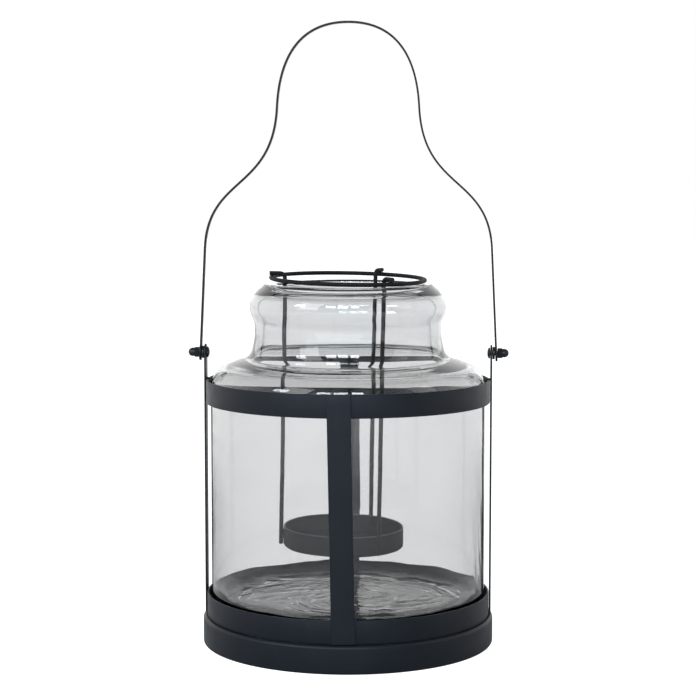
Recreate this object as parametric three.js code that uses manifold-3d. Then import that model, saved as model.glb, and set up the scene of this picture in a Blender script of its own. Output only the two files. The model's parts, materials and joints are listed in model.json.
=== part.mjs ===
// Candle lantern: a blown glass jar standing loosely in a black strap-metal frame, with a swinging
// bail handle, and a wire hanger on the jar's rim that holds a candle cup inside the jar.
// Millimetres, +Z up. The origin is the centre of the base's underside. The front is -Y, and the
// handle turns about the X axis through its two pivots.
import * as THREE from 'three';
import { mergeVertices } from 'three/addons/utils/BufferGeometryUtils.js';
import Module from 'manifold-3d';

const wasm = await Module();
wasm.setup();

// Driving dimensions
const GAP = 0.3; // clearance between neighbouring pieces

const BASE_R = 105;
const BASE_H = 20;
const BASE_SHEET = 1.2;
const BASE_FLANGE = 9; // width of the turned-in bottom flange
const BASE_TOP_BEND = 2.5;
const BASE_BOTTOM_BEND = 1.6;

const HOOP_R = 102.1; // outside radius of both hoops
const STRIP = 1.2; // thickness of hoops and straps
const STRIP_W = 16.3; // width of hoops, front strap and back strap
const FRAME_TOP = 190.5; // top edge of the upper hoop
const SIDE_STRAP_W = 12;
const FRONT_STRAP_LEAN = 1.1; // degrees; the front strap is welded on a little askew
const BACK_STRAP_TURN = 2; // degrees that the back strap is set round from straight behind

const PIVOT_Z = 209.5;
const HOLE_R = 2;
const SHANK_R = HOLE_R - GAP;
const HEAD_R = 4;
const HEAD_L = 2;
const WASHER_R = 4.5;
const WASHER_L = 1.6;
const NUT_ACROSS_FLATS = 7;
const NUT_HEX_L = 3.4;
const NUT_DOME_R = 3.1;
const NUT_L = 8;

const BAIL_T = 1.4;
const BAIL_W = 6;
const BAIL_EYE_R = 6;
const BAIL_TOP = 445; // centreline of the handle's crown
const BAIL_LEG_TOP = [103, 284]; // where the straight legs end
const BAIL_CROWN_FOOT = [50.7, 385]; // where the crown's arch begins
const BAIL_CROWN_LEAN = 3; // degrees

const JAR_R = 98.8;
const JAR_WALL = 2;
const JAR_FLOOR = 10;
const JAR_FOOT_BEND = [11, 13]; // reach inwards and upwards of the outside corner at the foot
const JAR_FLOOR_BEND = [20.8, 14]; // the same inside
const SHOULDER_Z = 183; // where the straight body ends
const SHOULDER_TURN = [89.6, 200.2]; // where the body's corner meets the sloping shoulder
const SHOULDER_TURN_IN = [87.7, 197.8]; // the same on the inside
const SHOULDER_END = [74, 206.2]; // where the slope turns up into the neck
const SHOULDER_END_IN = [73, 202.3];
const NECK_R = 67.2;
const NECK_BOTTOM_Z = 222.5; // the neck is straight from here
const NECK_TOP_Z = 229.5; // to here
const COLLAR_R = 70.6; // the swelling just below the rim
const COLLAR_Z = 242.5;
const JAR_RIM_Z = 259.3;
const RIM_R = 59; // the rim is flat from here in to the mouth
const RIM_SLOPE = [61.5, 257.7]; // where the rim's rounded outer edge begins
const MOUTH_R = 51.5;
const MOUTH_BEND = 2.5;

const WIRE_R = 1.5;
const RING_R = 55.2; // centreline of the hanger's ring
const RING_Z = 262.7;
const HOOK_REACH = 56.4; // radius where the hooks end, just past the ring's centreline
const HOOK_BEND = 3.5;
const HANGER_TURN = [66, 186, 306]; // degrees, where the three wires stand
const LEAN_SIDE = 1.1; // degrees; the hanger sits a little askew on the jar's uneven rim
const LEAN_FRONT = 1.3;

const CUP_R = 43.5;
const CUP_H = 14.6;
const CUP_SHEET = 1.2;
const CUP_FLOOR_Z = 68;
const CUP_BEND = 1.5; // the pressed corner between the cup's floor and wall
const CUP_BEND_IN = 0.8;

const radians = THREE.MathUtils.degToRad;
const v2 = (x, y) => new THREE.Vector2(x, y);

// Materials
const paint = (color, roughness) => new THREE.MeshStandardMaterial({ color, roughness, metalness: 0.3 });
const blackPaint = paint(0x24272b, 0.45);
const hangerPaint = paint(0x2b2c2e, 0.6);
const hardwarePaint = paint(0x202226, 0.35);
const clearGlass = new THREE.MeshStandardMaterial({
  color: 0xdfe6e6, roughness: 0.05, metalness: 0, transparent: true, opacity: 0.3,
});

// A body turned about Z from a closed profile of (radius, z) points.
function turned(profile, segments) {
  const geometry = new THREE.LatheGeometry(profile, segments);
  geometry.rotateX(Math.PI / 2);
  return geometry;
}

// A flat ring or tube with a rectangular section, from z0 to z1.
function tubeProfile(inner, outer, z0, z1) {
  return [v2(inner, z0), v2(outer, z0), v2(outer, z1), v2(inner, z1), v2(inner, z0)];
}

// An outline in the XZ plane, given depth along Y and centred on it.
function plateXZ(shape, depth) {
  const geometry = new THREE.ExtrudeGeometry(shape, { depth, bevelEnabled: false, curveSegments: 8 });
  geometry.translate(0, 0, -depth / 2);
  geometry.rotateX(Math.PI / 2);
  return geometry;
}

function toSolid(geometry) {
  const bare = geometry.clone();
  bare.deleteAttribute('normal');
  bare.deleteAttribute('uv');
  const merged = mergeVertices(bare, 1e-4);
  return new wasm.Manifold(new wasm.Mesh({
    numProp: 3,
    vertProperties: new Float32Array(merged.attributes.position.array),
    triVerts: new Uint32Array(merged.index.array),
  }));
}

function fromSolid(solid) {
  const { vertProperties, triVerts } = solid.getMesh();
  const geometry = new THREE.BufferGeometry();
  geometry.setAttribute('position', new THREE.BufferAttribute(vertProperties, 3));
  geometry.setIndex(new THREE.BufferAttribute(triVerts, 1));
  geometry.computeVertexNormals();
  return geometry;
}

function addPiece(parent, name, geometry, material) {
  const mesh = new THREE.Mesh(geometry, material);
  mesh.name = name;
  parent.add(mesh);
  return mesh;
}

// Frame: the pressed base, two hoops and four straps

// The base is an inverted pan of sheet metal, with its bottom edge turned in.
function basePan() {
  const top = BASE_TOP_BEND;
  const bottom = BASE_BOTTOM_BEND;
  const sheet = BASE_SHEET;
  const path = new THREE.Path();
  path.moveTo(0, BASE_H - sheet);
  path.lineTo(BASE_R - top, BASE_H - sheet);
  path.absarc(BASE_R - top, BASE_H - top, top - sheet, Math.PI / 2, 0, true);
  path.lineTo(BASE_R - sheet, bottom);
  path.absarc(BASE_R - bottom, bottom, bottom - sheet, 0, -Math.PI / 2, true);
  path.lineTo(BASE_R - BASE_FLANGE, sheet);
  path.lineTo(BASE_R - BASE_FLANGE, 0);
  path.lineTo(BASE_R - bottom, 0);
  path.absarc(BASE_R - bottom, bottom, bottom, -Math.PI / 2, 0, false);
  path.lineTo(BASE_R, BASE_H - top);
  path.absarc(BASE_R - top, BASE_H - top, top, 0, Math.PI / 2, false);
  path.lineTo(0, BASE_H);
  return turned(path.getPoints(2), 48);
}

function hoop(bottomZ) {
  return turned(tubeProfile(HOOP_R - STRIP, HOOP_R, bottomZ, bottomZ + STRIP_W), 48);
}

// The front and back straps are flat strips that reach from the base to the top of the upper hoop.
// The lean tips a strap's top to its left, and the strap still fits the same height.
function faceStrap(turn, lean) {
  const bottomZ = BASE_H + GAP;
  const reach = FRAME_TOP - bottomZ;
  const geometry = new THREE.BoxGeometry(STRIP_W, STRIP, reach - STRIP_W * Math.sin(lean));
  geometry.rotateY(-lean);
  geometry.translate(0, -(HOOP_R + GAP + STRIP / 2), bottomZ + reach / 2);
  geometry.rotateZ(turn);
  return geometry;
}

// The side straps run on past the upper hoop and end in a round lug with the pivot's hole.
function sideStrap(side) {
  const bottomZ = BASE_H + GAP;
  const half = SIDE_STRAP_W / 2;
  const shape = new THREE.Shape();
  shape.moveTo(-half, bottomZ);
  shape.lineTo(half, bottomZ);
  shape.lineTo(half, PIVOT_Z);
  shape.absarc(0, PIVOT_Z, half, 0, Math.PI, false);
  shape.lineTo(-half, bottomZ);
  shape.holes.push(new THREE.Path().absarc(0, PIVOT_Z, HOLE_R, 0, 2 * Math.PI, true));
  const geometry = plateXZ(shape, STRIP);
  geometry.rotateZ(Math.PI / 2);
  geometry.translate(side * (HOOP_R + GAP + STRIP / 2), 0, 0);
  return geometry;
}

// Pivots: a screw from inside the strap, a washer, and a cap nut outside the handle's eye.
// Each piece is turned about Z from its inner end at 0, then laid along X at the pivot.
const STRAP_IN = HOOP_R + GAP;
const STRAP_OUT = STRAP_IN + STRIP;
const WASHER_IN = STRAP_OUT + GAP;
const EYE_IN = WASHER_IN + WASHER_L + GAP;
const NUT_IN = EYE_IN + BAIL_T + GAP;
const NUT_BORE_L = 5;
const BAIL_HALF = EYE_IN + BAIL_T / 2; // the handle's centreline at the pivot

function atPivot(geometry, side, fromX) {
  geometry.rotateY(side * Math.PI / 2);
  geometry.translate(side * fromX, 0, PIVOT_Z);
  return geometry;
}

function pivotScrew(side) {
  const shankEnd = NUT_IN + NUT_BORE_L - GAP - (STRAP_IN - GAP - HEAD_L);
  const path = new THREE.Path();
  path.moveTo(0, 0);
  path.quadraticCurveTo(HEAD_R, 0, HEAD_R, HEAD_L);
  path.lineTo(SHANK_R, HEAD_L);
  path.lineTo(SHANK_R, shankEnd);
  path.lineTo(0, shankEnd);
  return atPivot(turned(path.getPoints(4), 16), side, STRAP_IN - GAP - HEAD_L);
}

function pivotWasher(side) {
  return atPivot(turned(tubeProfile(HOLE_R, WASHER_R, 0, WASHER_L), 16), side, WASHER_IN);
}

function capNut(side) {
  const hex = new THREE.CylinderGeometry(1, 1, NUT_HEX_L, 6);
  const corner = NUT_ACROSS_FLATS / Math.sqrt(3);
  hex.scale(corner, 1, corner);
  hex.rotateX(Math.PI / 2);
  hex.translate(0, 0, NUT_HEX_L / 2);

  const domeStart = NUT_L - NUT_DOME_R;
  const dome = new THREE.Path();
  dome.moveTo(0, NUT_HEX_L / 2);
  dome.lineTo(NUT_DOME_R, NUT_HEX_L / 2);
  dome.lineTo(NUT_DOME_R, domeStart);
  dome.absarc(0, domeStart, NUT_DOME_R, 0, Math.PI / 2, false);

  const bore = new THREE.CylinderGeometry(HOLE_R, HOLE_R, 2 * NUT_BORE_L, 16);
  bore.rotateX(Math.PI / 2);
  const solid = toSolid(hex).add(toSolid(turned(dome.getPoints(3), 16))).subtract(toSolid(bore));
  return atPivot(fromSolid(solid), side, NUT_IN);
}

// Handle: one flat strip bent into a bell outline, flattened to a round eye at each end

// The right half of the strip's centreline, from the pivot up to the crown.
function bailHalfCurves() {
  const foot = v2(BAIL_HALF, PIVOT_Z);
  const legTop = v2(...BAIL_LEG_TOP);
  const crownFoot = v2(...BAIL_CROWN_FOOT);
  const crown = v2(0, BAIL_TOP);
  const legWay = legTop.clone().sub(foot).normalize();
  const lean = radians(BAIL_CROWN_LEAN);
  const crownWay = v2(-Math.sin(lean), Math.cos(lean));
  const along = (point, way, distance) => point.clone().addScaledVector(way, distance);
  return [
    { curve: new THREE.LineCurve(foot, legTop), steps: 1 },
    {
      curve: new THREE.CubicBezierCurve(
        legTop, along(legTop, legWay, 53), along(crownFoot, crownWay, -60), crownFoot,
      ),
      steps: 14,
    },
    {
      curve: new THREE.CubicBezierCurve(crownFoot, along(crownFoot, crownWay, 40), v2(31, BAIL_TOP), crown),
      steps: 12,
    },
  ];
}

function bailOutline() {
  const outer = [];
  const inner = [];
  for (const { curve, steps } of bailHalfCurves()) {
    for (let i = outer.length ? 1 : 0; i <= steps; i += 1) {
      const point = curve.getPoint(i / steps);
      const way = curve.getTangent(i / steps);
      const across = v2(way.y, -way.x).multiplyScalar(BAIL_T / 2);
      outer.push(point.clone().add(across));
      inner.push(point.clone().sub(across));
    }
  }
  const mirrored = (points) => points.slice(0, -1).reverse().map((p) => v2(-p.x, p.y));
  return [...outer, ...mirrored(outer), ...[...inner, ...mirrored(inner)].reverse()];
}

function bailHandle() {
  let solid = toSolid(plateXZ(new THREE.Shape(bailOutline()), BAIL_W));
  for (const side of [-1, 1]) {
    const eye = atPivot(turned([v2(0, 0), v2(BAIL_EYE_R, 0), v2(BAIL_EYE_R, BAIL_T), v2(0, BAIL_T)], 24),
      side, EYE_IN);
    const hole = new THREE.CylinderGeometry(HOLE_R, HOLE_R, 4 * BAIL_T, 16);
    hole.rotateX(Math.PI / 2);
    solid = solid.add(toSolid(eye)).subtract(toSolid(atPivot(hole, side, BAIL_HALF)));
  }
  return fromSolid(solid);
}

// Jar: straight body, sloping shoulder, neck, swollen collar and a folded rim. The bare numbers are
// the (radius, z) handles of the curves between the named points.
function glassJar() {
  const z0 = BASE_H + GAP;
  const innerR = JAR_R - JAR_WALL;
  const neckIn = NECK_R - JAR_WALL;
  const collarIn = COLLAR_R - JAR_WALL;
  const [footIn, footUp] = JAR_FOOT_BEND;
  const [floorIn, floorUp] = JAR_FLOOR_BEND;
  const floorZ = z0 + JAR_FLOOR;
  const path = new THREE.Path();

  // outside, from the middle of the foot up to the rim
  path.moveTo(0, z0);
  path.lineTo(JAR_R - footIn, z0);
  path.quadraticCurveTo(JAR_R, z0, JAR_R, z0 + footUp);
  path.lineTo(JAR_R, SHOULDER_Z);
  path.bezierCurveTo(JAR_R, 191, 96, 197, ...SHOULDER_TURN);
  path.bezierCurveTo(83, 203.2, 78, 204.9, ...SHOULDER_END);
  path.bezierCurveTo(70.6, 207.3, 68.5, 211, NECK_R, NECK_BOTTOM_Z);
  path.lineTo(NECK_R, NECK_TOP_Z);
  path.bezierCurveTo(NECK_R, 234, COLLAR_R, 236, COLLAR_R, COLLAR_Z);
  path.bezierCurveTo(COLLAR_R, 250, 66, 254, ...RIM_SLOPE);
  path.quadraticCurveTo(60.5, JAR_RIM_Z, RIM_R, JAR_RIM_Z);

  // inside, from the rim down to the middle of the floor
  path.lineTo(MOUTH_R + MOUTH_BEND, JAR_RIM_Z);
  path.quadraticCurveTo(MOUTH_R, JAR_RIM_Z, MOUTH_R, JAR_RIM_Z - MOUTH_BEND);
  path.quadraticCurveTo(MOUTH_R, JAR_RIM_Z - 2 * MOUTH_BEND, 56, 254.7);
  path.bezierCurveTo(64, 254.2, collarIn, 250.5, collarIn, COLLAR_Z);
  path.bezierCurveTo(collarIn, 237, neckIn, 235, neckIn, NECK_TOP_Z);
  path.lineTo(neckIn, NECK_BOTTOM_Z);
  path.bezierCurveTo(66.3, 209.5, 68, 203.6, ...SHOULDER_END_IN);
  path.bezierCurveTo(77, 201.2, 81.5, 200.2, ...SHOULDER_TURN_IN);
  path.bezierCurveTo(93, 195.2, innerR, 190, innerR, SHOULDER_Z);
  path.lineTo(innerR, floorZ + floorUp);
  path.bezierCurveTo(innerR, floorZ + 3, 92, floorZ, innerR - floorIn, floorZ);
  path.lineTo(0, floorZ);
  return turned(path.getPoints(3), 40);
}

// Hanger: a wire ring with three hooked wires that hold up the cup. Its shapes are drawn upright
// about the ring's centre, and the whole group then leans by a degree or two.

// A wire that rises beside the cup and bends outward over the ring. Its sections stand where
// getPoint puts them: one at each end, and the rest round the bend.
class HookCurve extends THREE.Curve {
  constructor(footZ, armZ, radius) {
    super();
    this.footZ = footZ;
    this.armZ = armZ;
    this.radius = radius;
    this.bendStart = 0.1;
    this.bendEnd = 0.9;
  }

  getUtoTmapping(u) {
    return u;
  }

  getPoint(t, target = new THREE.Vector3()) {
    const bendZ = this.armZ - HOOK_BEND;
    if (t < this.bendStart) {
      const up = t / this.bendStart;
      return target.set(this.radius, 0, THREE.MathUtils.lerp(this.footZ, bendZ, up));
    }
    if (t > this.bendEnd) {
      const out = (t - this.bendEnd) / (1 - this.bendEnd);
      return target.set(THREE.MathUtils.lerp(this.radius + HOOK_BEND, HOOK_REACH, out), 0, this.armZ);
    }
    const angle = (t - this.bendStart) / (this.bendEnd - this.bendStart) * Math.PI / 2;
    const outward = HOOK_BEND * (1 - Math.cos(angle));
    return target.set(this.radius + outward, 0, bendZ + HOOK_BEND * Math.sin(angle));
  }
}

function hangerWire(turn) {
  const section = new THREE.Shape().absarc(0, 0, WIRE_R, 0, 2 * Math.PI, false);
  const footZ = CUP_FLOOR_Z + 1 - RING_Z;
  const armZ = 2 * WIRE_R + GAP;
  const path = new HookCurve(footZ, armZ, CUP_R + GAP + WIRE_R);
  const options = { extrudePath: path, steps: 10, curveSegments: 5, bevelEnabled: false };
  const geometry = new THREE.ExtrudeGeometry(section, options);
  geometry.rotateZ(radians(turn));
  return geometry;
}

function candleCup() {
  const z0 = CUP_FLOOR_Z - RING_Z;
  const inner = CUP_R - CUP_SHEET;
  const floorZ = z0 + CUP_SHEET;
  const profile = [
    v2(0, z0), v2(CUP_R - CUP_BEND, z0), v2(CUP_R, z0 + CUP_BEND), v2(CUP_R, z0 + CUP_H),
    v2(inner, z0 + CUP_H), v2(inner, floorZ + CUP_BEND_IN), v2(inner - CUP_BEND_IN, floorZ), v2(0, floorZ),
  ];
  return turned(profile, 40);
}

// Assembly
const lantern = new THREE.Group();
addPiece(lantern, 'base_pan', basePan(), blackPaint);
addPiece(lantern, 'bottom_hoop', hoop(BASE_H + GAP), blackPaint);
addPiece(lantern, 'top_hoop', hoop(FRAME_TOP - STRIP_W), blackPaint);
addPiece(lantern, 'front_strap', faceStrap(0, radians(FRONT_STRAP_LEAN)), blackPaint);
addPiece(lantern, 'back_strap', faceStrap(Math.PI + radians(BACK_STRAP_TURN), 0), blackPaint);
for (const [word, side] of [['left', -1], ['right', 1]]) {
  addPiece(lantern, `${word}_side_strap`, sideStrap(side), blackPaint);
  addPiece(lantern, `${word}_pivot_screw`, pivotScrew(side), hardwarePaint);
  addPiece(lantern, `${word}_pivot_washer`, pivotWasher(side), hardwarePaint);
  addPiece(lantern, `${word}_cap_nut`, capNut(side), hardwarePaint);
}
addPiece(lantern, 'bail_handle', bailHandle(), blackPaint);
addPiece(lantern, 'glass_jar', glassJar(), clearGlass);

const hanger = new THREE.Group();
hanger.position.z = RING_Z;
hanger.rotation.set(radians(LEAN_FRONT), radians(LEAN_SIDE), 0);
addPiece(hanger, 'hanger_ring', new THREE.TorusGeometry(RING_R, WIRE_R, 8, 40), hangerPaint);
HANGER_TURN.forEach((turn, i) => {
  addPiece(hanger, `hanger_wire_${i + 1}`, hangerWire(turn), hangerPaint);
});
addPiece(hanger, 'candle_cup', candleCup(), hangerPaint);
lantern.add(hanger);

export default lantern;
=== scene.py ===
"""The looks of the candle lantern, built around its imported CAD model.

Metres, +Z up. The front is -Y, and the handle turns about the X axis through its two pivots.
Outlines are written in millimetres and scaled once, where a mesh is made.
"""

import json
import math

import bmesh
import bpy
from mathutils import Matrix, Vector, noise


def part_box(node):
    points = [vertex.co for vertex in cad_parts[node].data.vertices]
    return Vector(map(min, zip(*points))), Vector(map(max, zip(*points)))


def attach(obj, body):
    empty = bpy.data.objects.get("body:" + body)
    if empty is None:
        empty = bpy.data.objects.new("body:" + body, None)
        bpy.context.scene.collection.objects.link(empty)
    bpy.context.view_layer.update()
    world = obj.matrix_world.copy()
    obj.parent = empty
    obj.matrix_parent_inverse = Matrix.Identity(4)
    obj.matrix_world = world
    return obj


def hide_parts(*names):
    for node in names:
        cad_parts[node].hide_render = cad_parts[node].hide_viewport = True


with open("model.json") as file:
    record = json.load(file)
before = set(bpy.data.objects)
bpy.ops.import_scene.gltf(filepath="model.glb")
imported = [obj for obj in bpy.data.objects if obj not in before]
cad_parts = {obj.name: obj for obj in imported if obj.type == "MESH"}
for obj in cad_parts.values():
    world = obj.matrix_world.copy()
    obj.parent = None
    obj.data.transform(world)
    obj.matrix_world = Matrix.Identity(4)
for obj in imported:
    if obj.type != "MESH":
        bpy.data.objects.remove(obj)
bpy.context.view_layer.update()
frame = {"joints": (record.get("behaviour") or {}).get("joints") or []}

MM = 0.001
UP = Vector((0, 0, 1))


def box_mm(node):
    """The lowest and highest corner of a CAD node, in millimetres."""
    low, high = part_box(node)
    return low / MM, high / MM


# Sizes read from the frame, in millimetres
BASE_R = box_mm("base_pan")[1].x
BASE_H = box_mm("base_pan")[1].z
HOOP_R = box_mm("top_hoop")[1].x
SIDE_LOW, SIDE_HIGH = box_mm("right_side_strap")
JAR_LOW, JAR_HIGH = box_mm("glass_jar")
JAR_R = JAR_HIGH.x
JAR_FOOT = JAR_LOW.z
JAR_RIM = JAR_HIGH.z
BAIL_TOP = box_mm("bail_handle")[1].z
BAIL_OUT = box_mm("bail_handle")[1].x
SCREW_IN = box_mm("right_pivot_screw")[0].x
SCREW_OUT = box_mm("right_pivot_screw")[1].x
WASHER_LOW, WASHER_HIGH = box_mm("right_pivot_washer")
NUT_LOW, NUT_HIGH = box_mm("right_cap_nut")
PIVOT_Z = frame["joints"][0]["pos_m"][2] / MM

# Sizes that repeat the CAD model's own, in millimetres
GAP = 0.3  # clearance between neighbouring pieces
SHEET = 1.2  # base, hoops, straps and cup
STRIP_W = 16.3
FRONT_STRAP_LEAN = 1.1  # degrees
BACK_STRAP_TURN = 182  # degrees round from the front
BASE_FLANGE = 9
BASE_TOP_BEND = 2.5
BASE_BOTTOM_BEND = 1.6
HOLE_R = 2
SHANK_R = 1.7
HEAD_R = 4
HEAD_L = 2
NUT_HEX_L = 3.4
NUT_DOME_R = 3.1
NUT_BORE_L = 5
BAIL_T = 1.4
BAIL_W = 6
BAIL_EYE_R = 6
BAIL_LEG_TOP = (103, 284)  # where the handle's straight legs end
BAIL_CROWN_FOOT = (50.7, 385)  # where the crown's arch begins
BAIL_CROWN_LEAN = 3  # degrees
WALL = 2
JAR_FLOOR = 10
JAR_FOOT_BEND = (11, 13)  # reach inwards and upwards of the outside corner at the foot
SHOULDER_Z = 183  # where the jar's straight body ends
SHOULDER_TURN = (89.6, 200.2)  # where the body's corner meets the sloping shoulder
SHOULDER_END = (74, 206.2)  # where the slope turns up into the neck
SHOULDER_END_IN = (73, 202.3)
NECK_R = 67.2
NECK_BOTTOM_Z = 222.5  # the neck is straight from here
NECK_TOP_Z = 229.5  # to here
COLLAR_R = 70.6  # the swelling just below the rim
COLLAR_Z = 242.5
RIM_R = 59  # the rim is flat from here in to the mouth
MOUTH_R = 51.5
MOUTH_BEND = 2.5
WIRE_R = 1.5
RING_R = 55.2
RING_Z = 262.7
HOOK_REACH = 56.4
HOOK_BEND = 3.5
HANGER_TURN = (66, 186, 306)  # degrees, where the three wires stand
LEAN_SIDE = 1.1  # degrees
LEAN_FRONT = 1.3  # degrees
CUP_R = 43.5
CUP_H = 14.6
CUP_FLOOR_Z = 68

# Sizes that only this model has, in millimetres
EDGE = 0.3  # rounding of sheet metal edges
BAIL_EDGE = 0.45  # rounding of the handle strip's edges
BAIL_EYE_BLEND = 1.1  # how softly the handle's strip widens into its eyes
NUT_FACE_R = 3.3  # a ring of points that keeps the nut's inner face flat
NUT_BORE_CONE = 0.4  # height of the cone at the bore's end
NUT_CHAMFER = 0.9
NUT_CHAMFER_SLOPE = 2.2  # how much faster the corners reach their full size
NUT_EDGE = 0.05  # softening of the hexagon's ends
NUT_DOME_FILLET = (0.25, 0.2)  # reach outwards and upwards of the bend at the dome's foot
WASHER_EDGE = 0.25  # rounding of the washer's edges
HEAD_EDGE = 0.2  # rounding of the screw head's rim
SHANK_CHAMFER = 0.4
SLOT_W = 1
SLOT_TURN = 25  # degrees
CUP_FOOT_BEND = 1.8
CUP_FLOOR_BEND = 1  # the same corner inside
CUP_RIM_BEND = 0.5
WIRE_SWAY = 0.35  # how far the hanger's wires may stray from straight
JAR_PUSH_UP = 2.5  # how far the jar's underside is pushed up in the middle
JAR_PUSH_R = 62  # the pushed-up part is flat out to here
SHOULDER_TURN_IN = (87.7, 197.75)  # the shoulder's turn on the inside

# Waves in the blown glass: their heights and places, in millimetres
WAVE_BROAD = 0.12
WAVE_STREAK = 0.035
WAVE_LEVEL = 0.04
WAVE_SHOULDER = 0.13
WAVE_FURROW = 0.3
SHOULDER_RINGS_Z = 204
FURROWS_ROUND = -26  # middle of the furrows, measured round the jar from +X
FURROWS_Z = 70
FLOOR_SWIRL = 0.6
FLOOR_SMALL = 0.3
FLOOR_RINGS = 0.24
FLOOR_TURN = 2.6  # radians that the floor's middle is turned by
FLOOR_TURN_R = 50  # how far out the turn reaches
RINGS_X = 16  # centre of the rings in the floor
RINGS_R = 54

# Mesh making
SHARP_ANGLE = 30  # degrees; a steeper edge is shaded sharp
NUT_SHARP_ANGLE = 24
JAR_SHARP_ANGLE = 60
MERGE = 1e-4  # points closer than this become one, in millimetres
ON_AXIS = 1e-6  # a smaller radius is a point on the axis
JAR_SPACING = 1.6  # between points on the jar's outline, in millimetres
STRAP_CUTS = 23  # along the front and back straps
BEAD_UNEVEN = 0.18  # how far a weld bead's surface strays, as a share of its size

# Sides of the round pieces
BASE_SIDES = 224  # the hoops too
JAR_SIDES = 192
HANGER_SIDES = 160  # ring and cup
NUT_SIDES = 96
PIVOT_SIDES = 64  # screws and washers
DRILL_SIDES = 48
WIRE_SIDES = 20

# Materials
HANGER_GLOSS = 0.11
CUP_SHADE_GLOSS = 0.25  # the share of that gloss that is left inside the cup, as painted shade
GLASS_IOR = 1.5

# The view and the lights, in metres
TABLE_REACH = 9  # from the middle of the table to each side
CAMERA_PLACE = (0.0645, -1.3682, 0.3355)
CAMERA_AIM = (0, 0, 0.2127)
CAMERA_LENS = 98.74  # millimetres
CAMERA_SENSOR = 36  # millimetres across
LAMP_AIM = (0, 0, 0.2)
WINDOW_REACH = 2.4  # from the lantern's axis
WINDOW_Z = 1.45
WINDOW_H = 0.42
WINDOWS = ((-58, 0.6), (-18, 0.5), (-3.5, 0.5), (11, 0.42))  # degrees from the front, and width


# Helpers for meshes

def outline(start, pieces, spacing=1.0):
    """Points along lines (one control point) and Bezier curves (two or three), spaced evenly."""
    points = [Vector(start)]
    for controls in pieces:
        hull = [points[-1]] + [Vector(c) for c in controls]
        length = sum((b - a).length for a, b in zip(hull, hull[1:]))
        steps = max(1, math.ceil(length / spacing))
        for i in range(1, steps + 1):
            level = hull
            while len(level) > 1:
                level = [a.lerp(b, i / steps) for a, b in zip(level, level[1:])]
            points.append(level[0])
    return points


def arc(centre, radius, start, end, steps=6):
    """Points on an arc between two angles in degrees."""
    turn = [math.radians(start + (end - start) * i / steps) for i in range(steps + 1)]
    return [Vector((centre[0] + radius * math.cos(a), centre[1] + radius * math.sin(a))) for a in turn]


def rounded_section(low, high, radius=EDGE, steps=3):
    """A rectangle from low to high with round corners, as points in order."""
    (x0, y0), (x1, y1) = low, high
    corners = [((x1 - radius, y0 + radius), -90), ((x1 - radius, y1 - radius), 0),
               ((x0 + radius, y1 - radius), 90), ((x0 + radius, y0 + radius), 180)]
    return [p for centre, start in corners for p in arc(centre, radius, start, start + 90, steps)]


def finish_mesh(name, bm, sharp=SHARP_ANGLE):
    """Turns a bmesh in millimetres into a smooth-shaded object in metres."""
    bmesh.ops.remove_doubles(bm, verts=bm.verts, dist=MERGE)
    bmesh.ops.recalc_face_normals(bm, faces=bm.faces)
    bmesh.ops.scale(bm, verts=bm.verts, vec=(MM, MM, MM))
    mesh = bpy.data.meshes.new(name)
    bm.to_mesh(mesh)
    bm.free()
    mesh.shade_smooth()
    mesh.set_sharp_from_angle(angle=math.radians(sharp))
    piece = bpy.data.objects.new(name, mesh)
    bpy.context.scene.collection.objects.link(piece)
    return piece


def bridge(bm, first, second):
    """Quads between two loops of vertices, or triangles where one of them is a single point."""
    count = max(len(first), len(second))
    for i in range(count):
        j = (i + 1) % count
        corners = [first[i % len(first)], first[j % len(first)]]
        corners += [second[j % len(second)], second[i % len(second)]]
        distinct = list(dict.fromkeys(corners))
        if len(distinct) > 2:
            bm.faces.new(distinct)


def turned(bm, section, segments, ring=False, place=None, shape=None):
    """A body turned about Z from (radius, z) points. A ring's section closes on itself.

    shape(index, angle, radius, z) may change a point's radius and z.
    """
    loops = []
    for index, (radius, z) in enumerate(section):
        count = 1 if radius < ON_AXIS else segments
        loop = []
        for k in range(count):
            angle = 2 * math.pi * k / segments
            r, height = shape(index, angle, radius, z) if shape else (radius, z)
            point = Vector((r * math.cos(angle), r * math.sin(angle), height))
            loop.append(bm.verts.new(place @ point if place else point))
        loops.append(loop)
    if ring:
        loops.append(loops[0])
    for first, second in zip(loops, loops[1:]):
        bridge(bm, first, second)


def swept(bm, points, section, side=None, place=None, width=None):
    """A bar along points. side is a fixed direction across it, and the section is (side, other) pairs.

    width(index) may scale the section along side.
    """
    loops = []
    across = side
    for i, point in enumerate(points):
        way = (points[min(i + 1, len(points) - 1)] - points[max(i - 1, 0)]).normalized()
        if side is None:
            across = across if across is not None else way.orthogonal().normalized()
            across = (across - way * across.dot(way)).normalized()
        other = way.cross(across).normalized()
        stretch = width(i) if width else 1
        loop = [point + across * (u * stretch) + other * v for u, v in section]
        loops.append([bm.verts.new(place @ p if place else p) for p in loop])
    for first, second in zip(loops, loops[1:]):
        bridge(bm, first, second)
    bm.faces.new(list(reversed(loops[0])))
    bm.faces.new(loops[-1])


def circle(radius, count):
    """Points round a circle, as (x, y) pairs."""
    return [(radius * math.cos(2 * math.pi * i / count), radius * math.sin(2 * math.pi * i / count))
            for i in range(count)]


def bead(bm, centre, size, seed, place=None):
    """A small uneven weld bead. size is its half lengths, and seed picks its unevenness."""
    made = bmesh.ops.create_icosphere(bm, subdivisions=3, radius=1)["verts"]
    for v in made:
        v.co *= 1 + BEAD_UNEVEN * noise.noise(v.co * 1.7 + Vector((seed, 0, 0)))
        v.co = Vector(centre) + Vector((v.co.x * size[0], v.co.y * size[1], v.co.z * size[2]))
        if place:
            v.co = place @ v.co


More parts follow.
